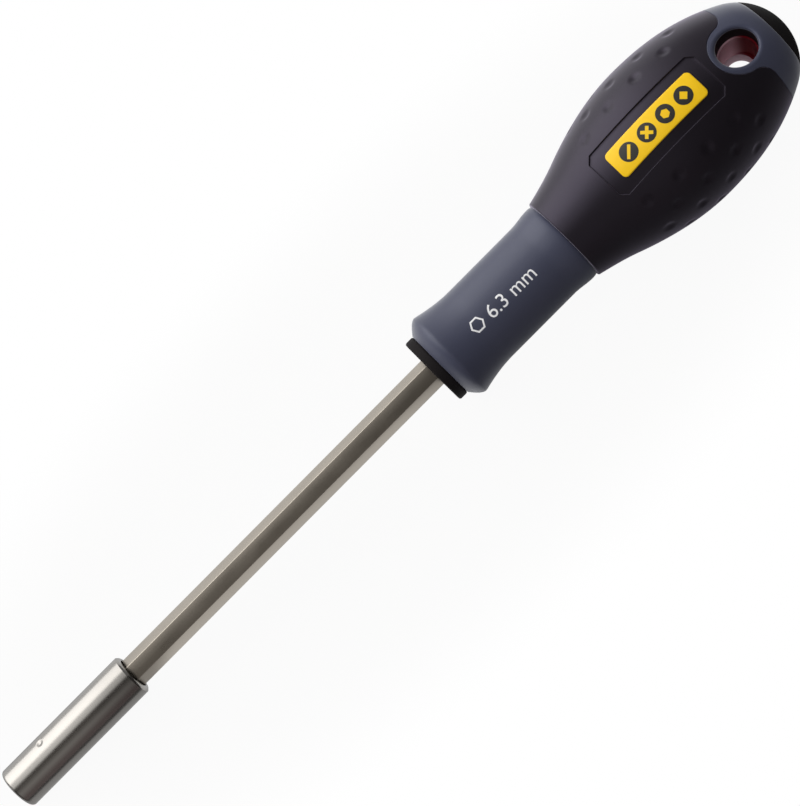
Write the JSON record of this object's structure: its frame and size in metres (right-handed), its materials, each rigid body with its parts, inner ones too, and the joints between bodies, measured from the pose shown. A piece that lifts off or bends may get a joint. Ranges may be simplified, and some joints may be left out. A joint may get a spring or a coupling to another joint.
{
  "type": "bit holder screwdriver",
  "caption": "Hand screwdriver for hexagonal bits: a hex bar with a round magnetic bit sleeve at its tip, in a soft barrel grip with a grey neck, a plain badge and a hanging hole.",
  "frame": {"origin": "centre of the bit socket's mouth, on the tool's axis", "axes": "+X along the tool from the mouth to the butt, +Z out of the badge and along the hanging hole, +Y across the handle"},
  "size_m": [0.229, 0.0354, 0.0349],
  "materials": {
    "bar_steel": "drawn, satin nickel",
    "sleeve_steel": "satin, turned",
    "magnet": "plain",
    "spring_steel": "oiled",
    "black_hard": "moulded, satin",
    "grey_soft": "soft touch, matt",
    "core_red": "moulded",
    "black_soft": "soft touch, fine texture",
    "badge_yellow": "smooth"
  },
  "bodies": {
    "root": {"hex_shaft": "bar_steel", "socket_sleeve": "sleeve_steel", "socket_magnet": "magnet", "bit_retaining_ring": "spring_steel", "nose_collar": "black_hard", "neck_sleeve": "grey_soft", "handle_core": "core_red", "grip_shell": "black_soft", "hang_saddle": "grey_soft", "butt_cap": "black_hard", "badge": "badge_yellow"}
  },
  "joints": []
}
